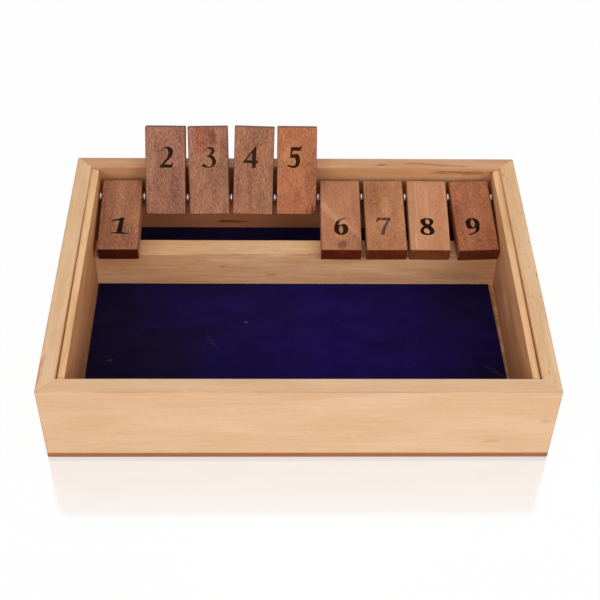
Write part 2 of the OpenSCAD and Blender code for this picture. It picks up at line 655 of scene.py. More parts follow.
@dataclass(frozen=True)
class Beech:
    """Pale sanded beech: long soft streaks, fine fibres and short dark ray flecks.

    The colour inside the box is painted shade: it is multiplied by painted_shading_low up to low_level, in
    metres, and by painted_shading_high from high_level on, so that it darkens towards the floor; on the
    divider these tones lift the colour instead, as painted light. The seam colour is painted shade in the
    planed groove beside a wall board, and the edge colour along rounded edges is partly wear and partly
    painted edge shade.
    Sizes are in millimetres along the fibres, across them and through the piece, as in every wood here, and
    figure is how strongly the grain shows.
    """

    name: str
    pale: Colour
    deep: Colour
    fleck: Colour
    end: Colour = srgb(186, 132, 90)
    # Colour laid along rounded edges: partly wear, partly painted edge shade
    edge: Colour = srgb(202, 150, 108)
    # Painted shade inside the box: the tones that multiply the colour low down and high up, and the heights
    # in metres between which one gives way to the other
    painted_shading_high: Colour = (0.9, 0.76, 0.64, 1.0)
    painted_shading_low: Colour = (0.7, 0.5, 0.38, 1.0)
    low_level: float = 0.012
    high_level: float = 0.042
    # Painted shade: the dark colour of the planed groove between a liner and its wall board
    seam: Colour = srgb(128, 84, 54)
    figure: float = 1.0
    lift: float = 0.03
    drop: float = 0.04
    cloud: Triple = (75.0, 13.0, 13.0)
    streak: Triple = (46.0, 2.6, 2.6)
    fibre: Triple = (9.0, 0.55, 0.55)
    ray: Triple = (2.8, 0.55, 0.55)
    cloud_levels: Pair = (0.33, 0.67)
    fleck_levels: Pair = (0.66, 0.75)
    fleck_share: float = 0.26
    gloss: Pair = (0.5, 0.62)
    relief: float = 0.00002
    plank: int = 0
    marks: tuple[Mark, ...] = ()

    def material(self) -> bpy.types.Material:
        """Mixes the beech.

        Returns:
            Its material.
        """
        desk = Desk(self.name)
        grain = desk.grain()
        cloud = desk.noise(grain, self.cloud, detail=3.0, rough=0.55, bend=0.5)
        streak = desk.noise(grain, self.streak, detail=4.0, rough=0.62, bend=0.4)
        fibre = desk.noise(grain, self.fibre, shift=4.0, rough=0.6)
        ray = desk.noise(grain, self.ray, shift=9.0, detail=1.0)
        colour = desk.mix(desk.fade(cloud, *self.cloud_levels), self.pale, self.deep)
        for lines in (streak, fibre):
            colour = desk.dim(colour, lines, 1 + self.lift * self.figure, 1 - self.drop * self.figure)
        for mark in self.marks:
            colour = mark.lay(desk, grain, self.plank, colour)
        flecks = desk.fade(ray, *self.fleck_levels, 0.0, self.fleck_share)
        colour = desk.mix(flecks, colour, self.fleck)
        colour = desk.mix(desk.level("end_grain"), colour, self.end)
        # Painted shade on the faces inside the box, darker towards the floor
        risen = desk.fade(desk.measure("Z", desk.place()), self.low_level, self.high_level)
        tone = desk.mix(risen, self.painted_shading_low, self.painted_shading_high)
        colour = desk.mix(desk.level("inside"), colour, desk.vectors("MULTIPLY", colour, tone)["Vector"])
        # Darker along rounded edges, broken up by the streaks: partly wear, partly painted edge shade
        rubbed = desk.maths("MULTIPLY", desk.level("worn"), desk.spread(streak))
        colour = desk.mix(rubbed, colour, self.edge)
        # Painted shade in the planed groove between a liner and its wall board
        colour = desk.mix(desk.level("seam"), colour, self.seam)
        normal = desk.bump(desk.maths("SUBTRACT", fibre, flecks), self.relief)
        gloss = desk.spread(fibre, *self.gloss)
        return desk.finish(
            {"Base Color": colour, "Roughness": gloss, "Normal": normal, "Specular IOR Level": 0.25}
        )


@dataclass(frozen=True)
class Plywood:
    """Thin plywood, stained: veneer faces, and three plies that show along the edge.

    The core's levels are counted from the middle of the thickness, with the thickness as 1. A face shows
    its veneer by how far it looks up or down, and a tone is what the fibres multiply the colour by.
    """

    name: str
    veneer: Colour
    ply: Colour
    core: Colour
    thickness: float = 3.4
    figure: Triple = (70.0, 6.0, 6.0)
    fibre: Triple = (9.0, 0.4, 0.4)
    core_levels: Pair = (0.2, 0.14)
    figure_levels: Pair = (0.35, 0.7)
    veneer_levels: Pair = (0.5, 0.8)
    edge_tone: Pair = (0.86, 1.1)
    veneer_tone: Pair = (1.05, 0.93)
    relief: float = 0.00003
    plank: int = 9

    def material(self) -> bpy.types.Material:
        """Mixes the plywood.

        Returns:
            Its material.
        """
        desk = Desk(self.name)
        grain = desk.grain()
        figure = desk.noise(grain, self.figure, detail=4.0, rough=0.6, bend=0.5)
        fibre = desk.noise(grain, self.fibre)
        level = desk.maths("DIVIDE", desk.measure("Z", desk.place()), self.thickness * MM)
        centred = desk.maths("ABSOLUTE", desk.maths("SUBTRACT", level, 0.5), 0.0)
        edge = desk.mix(desk.fade(centred, *self.core_levels), self.ply, self.core)
        edge = desk.dim(edge, fibre, *self.edge_tone)
        flat = desk.mix(desk.fade(figure, *self.figure_levels), self.veneer, self.ply)
        flat = desk.dim(flat, fibre, *self.veneer_tone)
        upward = desk.measure("Z", desk.node("NewGeometry", {}).outputs["Normal"])
        lying = desk.fade(desk.maths("ABSOLUTE", upward, 0.0), *self.veneer_levels)
        colour = desk.mix(lying, edge, flat)
        normal = desk.bump(fibre, self.relief)
        return desk.finish(
            {"Base Color": colour, "Roughness": 0.62, "Normal": normal, "Specular IOR Level": 0.3}
        )


@dataclass(frozen=True)
class Rosewood:
    """Oiled rosewood: soft bands of darker and lighter wood under a dense grain of fine flecks."""

    name: str
    light: Colour
    dark: Colour
    pore: Colour
    glint: Colour
    end: Colour
    plank: int
    band: Triple = (28.0, 6.5, 6.5)
    blotch: Triple = (12.0, 7.0, 7.0)
    fibre: Triple = (6.0, 0.5, 0.5)
    fleck: Triple = (2.0, 0.5, 0.5)
    figure: float = 1.0
    blotch_depth: float = 0.1
    fibre_depth: float = 0.09
    speckle: float = 0.55
    band_levels: Pair = (0.18, 0.82)
    fleck_levels: Pair = (0.54, 0.655)
    end_tone: Pair = (1.25, 0.8)
    # Share of the painted edge shade along the rounded edges
    edge_shade_share: float = 0.75
    gloss: Pair = (0.5, 0.65)
    marks: tuple[Mark, ...] = ()
    relief: float = 0.00006

    def material(self) -> bpy.types.Material:
        """Mixes the rosewood.

        Returns:
            Its material.
        """
        desk = Desk(self.name)
        grain = desk.grain()
        band = desk.noise(grain, self.band, detail=3.0, rough=0.55, bend=0.6)
        blotch = desk.noise(grain, self.blotch)
        fibre = desk.noise(grain, self.fibre, shift=6.0, rough=0.6)
        pores = desk.noise(grain, self.fleck, shift=3.0, rough=0.6)
        glints = desk.noise(grain, self.fleck, shift=8.0, rough=0.6)
        colour = desk.mix(desk.fade(band, *self.band_levels), self.light, self.dark)
        depth = self.blotch_depth * self.figure
        colour = desk.dim(colour, blotch, 1 - depth, 1 + depth)
        for mark in self.marks:
            colour = mark.lay(desk, grain, self.plank, colour)
        depth = self.fibre_depth * self.figure
        colour = desk.dim(colour, fibre, 1 - depth, 1 + depth)
        dark_pores = desk.fade(pores, *self.fleck_levels, 0.0, self.speckle)
        colour = desk.mix(dark_pores, colour, self.pore)
        colour = desk.mix(desk.fade(glints, *self.fleck_levels, 0.0, self.speckle), colour, self.glint)
        colour = desk.mix(desk.level("end_grain"), colour, desk.dim(self.end[:3], band, *self.end_tone))
        # Painted shade: the rounded edges are darkened towards the pore colour, as a dark outline
        rubbed = desk.maths("MULTIPLY", desk.level("worn"), self.edge_shade_share)
        colour = desk.mix(rubbed, colour, self.pore)
        normal = desk.bump(desk.maths("SUBTRACT", glints, dark_pores), self.relief)
        gloss = desk.spread(pores, *self.gloss)
        return desk.finish(
            {"Base Color": colour, "Roughness": gloss, "Normal": normal, "Specular IOR Level": 0.25}
        )


@dataclass(frozen=True)
class Felt:
    """Short dense felt with a soft nap, a painted sheen and a little lint. Sizes are in metres."""

    name: str
    deep: Colour
    painted_sheen_colour: Colour
    lint: Colour
    sheen: Colour
    # Painted sheen: where it is centred along X, how far it fades out, how far noise wobbles its edge, and
    # that noise's size
    sheen_at: float = 0.03
    sheen_reach: Pair = (0.01, 0.13)
    sheen_wobble_reach: float = 0.03
    sheen_wobble: Triple = (0.09, 0.06, 0.06)
    mottle: Triple = (0.017, 0.009, 0.009)
    hair: Triple = (0.0022, 0.0006, 0.001)
    nap: Triple = (0.00035, 0.00035, 0.00035)
    mottle_tone: Pair = (0.86, 1.14)
    nap_tone: Pair = (0.8, 1.22)
    hair_levels: Pair = (0.72, 0.8)
    hair_share: float = 0.3
    hair_height: float = 0.4
    relief: float = 0.00018
    specks: tuple[Mark, ...] = ()

    def material(self) -> bpy.types.Material:
        """Mixes the felt.

        Returns:
            Its material.
        """
        desk = Desk(self.name)
        place = desk.place()
        sheen_wobble = desk.noise(place, self.sheen_wobble, bend=0.8)
        nap = desk.noise(place, self.nap, detail=3.0, rough=0.7)
        hairs = desk.noise(place, self.hair, shift=7.0, bend=1.5)
        # Painted sheen: lighter and bluer near sheen_at, darker towards the ends, its edge wobbled by noise
        aside = desk.maths("SUBTRACT", desk.measure("X", place), self.sheen_at)
        uneven = desk.spread(sheen_wobble, self.sheen_wobble_reach, -self.sheen_wobble_reach)
        away = desk.maths("ADD", desk.maths("ABSOLUTE", aside, 0.0), uneven)
        colour = desk.mix(desk.fade(away, *self.sheen_reach), self.painted_sheen_colour, self.deep)
        colour = desk.dim(colour, desk.noise(place, self.mottle, shift=3.0), *self.mottle_tone)
        colour = desk.dim(colour, nap, *self.nap_tone)
        colour = desk.mix(desk.fade(hairs, *self.hair_levels, 0.0, self.hair_share), colour, self.lint)
        for speck in self.specks:
            colour = speck.lay(desk, desk.stretch(place, (MM, MM, MM)), 0, colour)
        raised = desk.maths("ADD", nap, desk.maths("MULTIPLY", hairs, self.hair_height))
        normal = desk.bump(raised, self.relief)
        return desk.finish(
            {
                "Base Color": colour,
                "Roughness": 1.0,
                "Normal": normal,
                "Specular IOR Level": 0.08,
                "Sheen Weight": 0.12,
                "Sheen Roughness": 0.45,
                "Sheen Tint": self.sheen,
            }
        )


@dataclass(frozen=True)
class Metal:
    """Polished or drawn metal with fine scratches. Sizes are in metres."""

    name: str
    colour: Colour
    dull: Colour
    rough: float
    scratch: Triple
    tarnish: Triple = (0.004, 0.004, 0.004)
    tarnish_levels: Pair = (0.5, 0.75)
    tarnish_share: float = 0.6
    dulling: float = 0.16
    relief: float = 0.000008

    def material(self) -> bpy.types.Material:
        """Mixes the metal.

        Returns:
            Its material.
        """
        desk = Desk(self.name)
        place = desk.place()
        scratches = desk.noise(place, self.scratch, detail=3.0, rough=0.7)
        tarnish = desk.noise(place, self.tarnish, shift=2.0, detail=3.0)
        dulled = desk.fade(tarnish, *self.tarnish_levels, 0.0, self.tarnish_share)
        colour = desk.mix(dulled, self.colour, self.dull)
        gloss = desk.spread(scratches, self.rough, self.rough + self.dulling)
        normal = desk.bump(scratches, self.relief)
        return desk.finish({"Base Color": colour, "Metallic": 1.0, "Roughness": gloss, "Normal": normal})


@dataclass(frozen=True)
class Ink:
    """Black ink pressed into the wood, rubbed through in coarse patches and along fine fibres.

    Sizes are in millimetres. The pairs from coarse_start to fine_share hold a value without wear, and what
    full wear adds to it.
    """

    name: str
    black: Colour
    wear: float
    rubbed: Colour = srgb(112, 84, 72)
    coarse: Triple = (4.0, 2.2, 2.2)
    fine: Triple = (1.6, 0.35, 0.35)
    fine_levels: Pair = (0.58, 0.72)
    coarse_start: Pair = (0.66, -0.3)
    coarse_end: Pair = (0.78, -0.2)
    coarse_share: Pair = (0.35, 0.5)
    fine_share: Pair = (0.25, 0.4)

    def material(self) -> bpy.types.Material:
        """Mixes the ink.

        Returns:
            Its material.
        """
        desk = Desk(self.name)
        grain = desk.grain()
        coarse = desk.noise(grain, self.coarse, detail=3.0, rough=0.65)
        fine = desk.noise(grain, self.fine, shift=6.0)
        start, end, patches = map(self.by_wear, (self.coarse_start, self.coarse_end, self.coarse_share))
        colour = desk.mix(desk.fade(coarse, start, end, 0.0, patches), self.black, self.rubbed)
        lines = desk.fade(fine, *self.fine_levels, 0.0, self.by_wear(self.fine_share))
        colour = desk.mix(lines, colour, self.rubbed)
        return desk.finish({"Base Color": colour, "Roughness": 0.6, "Specular IOR Level": 0.05})

    def by_wear(self, pair: Pair) -> float:
        """The first of a pair, plus the second times the wear."""
        return pair[0] + pair[1] * self.wear


# Pieces


@dataclass
class Boards:
    """The four mitred wall boards and the plywood base under them."""

    ease: float = 0.0006
    corner: float = 0.0008
    foot_ease: float = 0.0002
    front_finish: Beech = Beech(
        name="beech_front_board",
        pale=srgb(231, 191, 152),
        deep=srgb(225, 181, 139),
        fleck=srgb(178, 126, 84),
        marks=(
            Mark(srgb(190, 146, 110), at=(122.0, -90.0, 28.0), size=(7.0, 3.0, 3.0), share=0.5),
            Mark(srgb(196, 150, 112), at=(96.0, -90.0, 13.0), size=(9.0, 3.0, 3.0), share=0.5),
        ),
        plank=1,
    )
    left_finish: Beech = Beech(
        name="beech_left_board",
        pale=srgb(236, 195, 153),
        deep=srgb(228, 183, 137),
        fleck=srgb(150, 98, 58),
        # Painted shade on the inner face, which the right board takes over too
        painted_shading_high=(0.78, 0.66, 0.55, 1.0),
        figure=1.3,
        marks=(Mark(srgb(188, 118, 88), at=(-76.0, -127.0, 50.0), size=(26.0, 4.0, 6.0), share=0.6),),
        plank=3,
    )
    right_finish: Beech = replace(
        left_finish,
        name="beech_right_board",
        fleck=srgb(164, 110, 68),
        ray=(4.2, 0.85, 0.85),
        fleck_share=0.85,
        marks=(),
        plank=4,
    )
    back_finish: Beech = Beech(
        name="beech_back_board",
        pale=srgb(222, 172, 132),
        deep=srgb(206, 152, 112),
        fleck=srgb(140, 88, 56),
        end=srgb(170, 116, 78),
        edge=srgb(178, 124, 88),
        # Painted shade on the inner face: warmer near the rim, darker and redder towards the floor
        painted_shading_high=(1.06, 0.98, 0.82, 1.0),
        painted_shading_low=(0.86, 0.6, 0.48, 1.0),
        marks=(
            Mark(srgb(112, 66, 40), at=(50.0, 84.0, 50.0), size=(10.0, 1.6, 6.0)),
            Mark(srgb(170, 96, 58), at=(84.0, 84.0, 50.0), size=(50.0, 2.0, 4.0), slant=5.0, share=0.6),
            Mark(srgb(150, 78, 44), at=(96.0, 81.0, 47.0), size=(34.0, 8.0, 3.0), share=0.6),
            Mark(srgb(84, 38, 22), at=(-38.0, 81.0, 9.0), size=(18.0, 6.0, 2.2)),
        ),
        plank=2,
    )
    ply: Plywood = Plywood(
        name="plywood_base",
        veneer=srgb(214, 168, 126),
        ply=srgb(172, 114, 76),
        core=srgb(156, 98, 64),
    )

    def build(self) -> None:
        """Builds the boards and the base."""
        finishes = (self.front_finish, self.back_finish, self.left_finish, self.right_finish)
        for side, finish in zip(Side, finishes):
            name = f"{side.name.lower()}_board"
            board = self.board(name, side)
            lay_grain(board, Grain.ALONG_X if side.along.x else Grain.ALONG_Y, finish.plank)
            mark_edge_wear_and_shade(board, *self.timber(name, side), reach=self.ease)
            mark_inside(board, -side.outward)
            smooth(board)
            hand_over(board, "case", "beech", finish.material(), name)
        panel = self.panel()
        lay_grain(panel, Grain.ALONG_X, self.ply.plank)
        smooth(panel)
        hand_over(panel, "case", "plywood", self.ply.material(), "base_panel")

    def timber(self, node: str, side: Side) -> tuple[Vector, Vector]:
        """The block that a wall board is sawn from, which is as long as the base under it.

        Args:
            node: The CAD node whose place the board takes.
            side: The wall that it makes.

        Returns:
            The block's lowest and highest corners.
        """
        low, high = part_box(node)
        base_low, base_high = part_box("base_panel")
        low = low + side.along * (base_low - low).dot(side.along)
        high = high + side.along * (base_high - high).dot(side.along)
        return low, high

    def board(self, node: str, side: Side) -> Piece:
        """One wall board, mitred at both ends.

        Args:
            node: The CAD node whose place it takes.
            side: The wall that it makes.

        Returns:
            The board.
        """
        low, high = self.timber(node, side)
        board = add_block(f"{node}_wood", low, high)
        outer = max(low.dot(side.outward), high.dot(side.outward))
        middle = ((low + high) / 2).dot(side.outward)
        ends = [low.dot(side.along), high.dot(side.along)]
        mitres = []
        for end, direction in zip(ends, (-1, 1)):
            corner = side.along * end + side.outward * outer
            mitres.append((corner, (side.along * direction - side.outward).normalized()))

        def on_mitre(*points: Vector) -> bool:
            """Whether all of some points lie on one mitre.

            Args:
                *points: The points.

            Returns:
                Yes or no.
            """
            return any(
                all(abs((point - corner).dot(normal)) < TOUCH for point in points)
                for corner, normal in mitres
            )

        def outer_upright(start: Vector, end: Vector) -> bool:
            """Whether an edge is one of the two outer corners."""
            level = min(start.dot(side.outward), end.dot(side.outward))
            return level > outer - TOUCH and abs((start - end).z) > high.z - low.z - TOUCH

        def long_edge(height: float) -> Callable[[Vector, Vector], bool]:
            """Makes a test for the edges at one height that aren't on a mitre.

            Args:
                height: The height.

            Returns:
                The test, of an edge's two ends.
            """
            return lambda start, end: (
                abs(start.z - height) < TOUCH
                and abs(end.z - height) < TOUCH
                and not on_mitre(start, end)
            )

        def top_edge(inside: bool) -> Callable[[Vector, Vector], bool]:
            """Makes a test for the top edges on the inner or on the outer half of the board.

            Args:
                inside: Whether it is the inner half.

            Returns:
                The test, of an edge's two ends.
            """
            return lambda start, end: (
                long_edge(high.z)(start, end) and (((start + end) / 2).dot(side.outward) < middle) == inside
            )

        with editing(board):
            ease_edges(outer_upright, self.corner, segments=6)
            for corner, normal in mitres:
                saw(corner, normal)
            # The standing tiles lean on the back board's inner edge, which is planed flat for them
            ease_edges(top_edge(True), self.ease, profile=PLANED if side is Side.BACK else ROUNDED)
            ease_edges(top_edge(False), self.ease)
            ease_edges(long_edge(low.z), self.foot_ease, segments=1)
        return board

    def panel(self) -> Piece:
        """The plywood base with its rounded corners.

        Returns:
            The base.
        """
        low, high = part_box("base_panel")
        panel = add_block("base_panel_ply", low, high)
        with editing(panel):
            ease_edges(lambda start, end: abs((start - end).z) > TOUCH, self.corner, segments=6)
            ease_edges(lambda start, end: abs((start - end).z) < TOUCH, self.foot_ease, segments=2)
        return panel


@dataclass
class Liners:
    """The thin strips inside the side boards, which carry the rod's ends."""

    nose: float = 0.0026
    ease: float = 0.0005
    seam: float = 0.0009
    rod_fit: float = 0.00003
    finish: Beech = Beech(
        name="beech_liner",
        pale=srgb(246, 200, 149),
        deep=srgb(228, 174, 122),
        fleck=srgb(156, 104, 66),
        end=srgb(176, 122, 80),
        edge=srgb(190, 138, 94),
        # Painted shade on the faces that look into the box, darker towards the floor; the right liner takes
        # it over
        painted_shading_high=(0.81, 0.66, 0.59, 1.0),
        painted_shading_low=(0.59, 0.42, 0.38, 1.0),
        figure=1.8,
        marks=(
            Mark(srgb(232, 172, 136), at=(-40.0, -113.7, 22.0), size=(60.0, 6.0, 26.0), share=0.4),
            Mark(srgb(206, 150, 104), at=(-2.0, -113.7, 36.0), size=(24.0, 6.0, 6.0), share=0.5),
        ),
        plank=5,
    )
    right_finish: Beech = replace(
        finish,
        name="beech_right_liner",
        marks=(
            Mark(srgb(255, 226, 186), at=(-5.6, 113.7, 25.0), size=(24.0, 6.0, 8.0), share=0.8, torn=0.3),
            Mark(srgb(206, 134, 88), at=(-24.0, 113.7, 31.0), size=(44.0, 6.0, 5.0), share=0.55),
            Mark(srgb(206, 142, 100), at=(14.0, 113.7, 18.0), size=(22.0, 6.0, 7.0), share=0.5),
            Mark(srgb(236, 176, 132), at=(-44.0, 113.7, 20.0), size=(40.0, 6.0, 12.0), share=0.4),
        ),
        plank=6,
    )

    def build(self) -> None:
        """Builds both liners."""
        liners = (("left_liner", 1.0, self.finish), ("right_liner", -1.0, self.right_finish))
        for node, inward, finish in liners:
            liner = self.liner(node, inward)
            lay_grain(liner, Grain.ALONG_Y, finish.plank)
            mark_edge_wear_and_shade(liner, *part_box(node), reach=self.ease)
            mark_inside(liner, Vector((inward, 0.0, 0.0)), Side.BACK.outward)
            smooth(liner)
            hand_over(liner, "case", "beech_liner", finish.material(), node)

    def liner(self, node: str, inward: float) -> Piece:
        """One liner, with its rounded corner beside the back board and the rod's hole.

        Args:
            node: The CAD node whose place it takes.
            inward: The direction along X of the face that shows.

        Returns:
            The liner.
        """
        low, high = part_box(node)
        rod_low, rod_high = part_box("hinge_rod")
        liner = add_block(f"{node}_wood", low, high)
        face, hidden = (high.x, low.x) if inward > 0 else (low.x, high.x)

        def nose_edge(start: Vector, end: Vector) -> bool:
            """Whether an edge is the upright one beside the back board, on the face that shows."""
            shows = max(abs(start.x - face), abs(end.x - face)) < TOUCH
            return shows and min(start.y, end.y) > high.y - TOUCH

        def top_edge(start: Vector, end: Vector) -> bool:
            """Whether an edge runs along the top, on the face that shows or round the nose."""
            shows = min(abs(start.x - face), abs(end.x - face)) < self.nose - TOUCH
            return shows and min(start.z, end.z) > high.z - TOUCH and not end_edge(start, end)

        def end_edge(start: Vector, end: Vector) -> bool:
            """Whether an edge lies against the front or back board."""
            return max(start.y, end.y) < low.y + TOUCH or min(start.y, end.y) > high.y - TOUCH

        def hidden_edge(start: Vector, end: Vector) -> bool:
            """Whether an edge runs along the top beside the wall board."""
            beside = max(abs(start.x - hidden), abs(end.x - hidden)) < TOUCH
            return beside and min(start.z, end.z) > high.z - TOUCH

        with editing(liner):
            ease_edges(nose_edge, self.nose, segments=8)
            ease_edges(top_edge, self.ease)
            ease_edges(hidden_edge, self.seam, segments=1)
        centre = Vector(((low.x + high.x) / 2, *((rod_low + rod_high) / 2).yz))
        radius = (rod_high.z - rod_low.z) / 2 + self.rod_fit
        bore(liner, centre, Matrix.Rotation(math.pi / 2, 4, "Y"), radius, 4 * (high.x - low.x))

        def in_seam(polygon: bpy.types.MeshPolygon) -> bool:
            """Whether a face is the planed one beside the wall board."""
            return polygon.normal.z > FACING and polygon.normal.x * inward < -FACING

        # The planed face is painted dark by the beech finish, as the shade in the groove
        write(liner, "seam", "FACE", in_seam)
        return liner


@dataclass
class Divider:
    """The low bar between the dice tray and the tile well."""

    ease: float = 0.0005
    finish: Beech = Beech(
        name="beech_divider",
        pale=srgb(232, 187, 142),
        deep=srgb(216, 165, 118),
        fleck=srgb(160, 108, 68),
        end=srgb(176, 122, 80),
        edge=srgb(148, 98, 62),
        # Painted light: these tones brighten the bar's front and back faces above the wood's own colour
        painted_shading_high=(1.2, 1.2, 1.24, 1.0),
        painted_shading_low=(1.18, 1.12, 1.12, 1.0),
        fleck_share=0.5,
        figure=2.2,
        marks=(
            Mark(srgb(134, 86, 58), at=(-42.0, 32.0, 17.7), size=(6.0, 3.0, 2.0), share=0.4),
            Mark(srgb(140, 92, 62), at=(-15.0, 32.0, 11.5), size=(7.0, 3.0, 2.0), share=0.4),
            Mark(srgb(128, 82, 54), at=(6.5, 32.5, 27.0), size=(7.0, 2.0, 1.4), share=0.6),
        ),
        plank=7,
    )

    def build(self) -> None:
        """Builds the bar."""
        low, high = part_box("divider_bar")
        bar = add_block("divider_bar_wood", low, high)

        def top_edge(start: Vector, end: Vector) -> bool:
            """Whether an edge runs along the top."""
            return min(start.z, end.z) > high.z - TOUCH and abs(start.y - end.y) < TOUCH

        with editing(bar):
            ease_edges(top_edge, self.ease)
        lay_grain(bar, Grain.ALONG_X, self.finish.plank)
        mark_edge_wear_and_shade(bar, low, high, reach=self.ease)
        mark_inside(bar, Side.FRONT.outward, Side.BACK.outward)
        smooth(bar)
        hand_over(bar, "case", "beech", self.finish.material(), "divider_bar")


@dataclass
class Felts:
    """The felt on the floors of the dice tray and the tile well, cut with scissors and glued down.

    The tray's right edge leaves a strip of the base bare, from bare_front to bare_back wide.
    """

    tray_name: str = "tray_felt_cloth"
    well_name: str = "well_felt_cloth"
    bare_front: float = 0.0005
    bare_back: float = 0.0028
    cell: float = 0.004
    wave: float = 0.00006
    waves_per_metre: float = 60.0
    fray: float = 0.00012
    frays_per_metre: float = 300.0
    finish: Felt = Felt(
        name="navy_felt",
        deep=srgb(21, 15, 43),
        # The painted sheen, lighter and bluer than the deep felt
        painted_sheen_colour=srgb(26, 14, 77),
        lint=srgb(96, 96, 120),
        sheen=srgb(60, 60, 150),
        specks=(
            Mark(srgb(78, 78, 96), at=(108.0, -37.0, 4.6), size=(15.0, 3.0, 4.0), slant=39.0, share=0.17),
            Mark(srgb(120, 120, 150), at=(-28.4, 1.0, 4.6), size=(2.4, 1.8, 4.0), share=0.35),
            Mark(srgb(90, 90, 120), at=(-46.0, -15.0, 4.6), size=(14.0, 1.8, 4.0), slant=60.0, share=0.13),
            Mark(srgb(90, 90, 120), at=(-101.0, -28.0, 4.6), size=(4.0, 2.4, 4.0), share=0.2),
        ),
    )
    # The well's felt, with a painted sheen close to its own colour
    well_finish: Felt = replace(
        finish, name="navy_felt_well", deep=srgb(31, 24, 56), painted_sheen_colour=srgb(30, 22, 62), specks=()
    )

    def build(self) -> None:
        """Builds both felts."""
        low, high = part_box("tray_felt")
        slant = self.bare_back - self.bare_front
        tray = self.cut(self.tray_name, low, high, slant)
        hand_over(tray, "case", "navy_felt", self.finish.material(), "tray_felt")
        low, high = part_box("well_felt")
        well = self.cut(self.well_name, low, high, 0.0)
        hand_over(well, "case", "navy_felt", self.well_finish.material(), "well_felt")

    def cut(self, name: str, low: Vector, high: Vector, slant: float) -> Piece:
        """Cuts one felt and lays it on the base.

        Args:
            name: The piece's name.
            low: Lowest corner of its place.
            high: Highest corner of its place.
            slant: How far its right edge draws in from the front to the back.

        Returns:
            The felt.
        """
        columns = round((high.x - low.x) / self.cell)
        rows = round((high.y - low.y) / self.cell)
        bpy.ops.object.select_all(action="DESELECT")
        bpy.ops.mesh.primitive_grid_add(x_subdivisions=columns, y_subdivisions=rows, size=1.0)
        felt = name_new(name)
        felt.scale = (high.x - low.x, high.y - low.y, 1.0)
        felt.location = ((low.x + high.x) / 2, (low.y + high.y) / 2, low.z)
        fix_place(felt)
        with editing(felt):
            bpy.ops.mesh.extrude_region_move(TRANSFORM_OT_translate={"value": (0, 0, high.z - low.z)})
            bpy.ops.mesh.select_all(action="SELECT")
            bpy.ops.mesh.normals_make_consistent(inside=False)
        for vertex in felt.data.vertices:
            vertex.co = self.settle(vertex.co.copy(), low, high, slant)
        take(felt)
        bpy.ops.object.shade_smooth_by_angle(angle=math.radians(SOFT_ANGLE))
        return felt

    def settle(self, point: Vector, low: Vector, high: Vector, slant: float) -> Vector:
        """Where a point of a felt ends up: cut on the slant, with a soft top and a slightly uneven edge.

        Args:
            point: The point of the even slab.
            low: Lowest corner of the felt's place.
            high: Highest corner of its place.
            slant: How far its right edge draws in from the front to the back.

        Returns:
            The point's place.
        """
        share = (point.x - low.x) / (high.x - low.x)
        back = (point.y - low.y) / (high.y - low.y)
        settled = point.copy()
        settled.x -= share * slant * back
        if point.z > high.z - TOUCH:
            settled.z -= self.wave * self.ripple(point, self.waves_per_metre)
        uneven = self.fray * self.ripple(point, self.frays_per_metre)
        if share > 1 - TOUCH:
            settled.x -= uneven
        if share < TOUCH:
            settled.x += uneven
        if back > 1 - TOUCH:
            settled.y -= uneven
        if back < TOUCH:
            settled.y += uneven
        return settled

    @staticmethod
    def ripple(point: Vector, per_metre: float) -> float:
        """Noise from 0 to 1 at a point, with so many waves to the metre."""
        return 0.5 + 0.5 * noise.noise(point * per_metre)


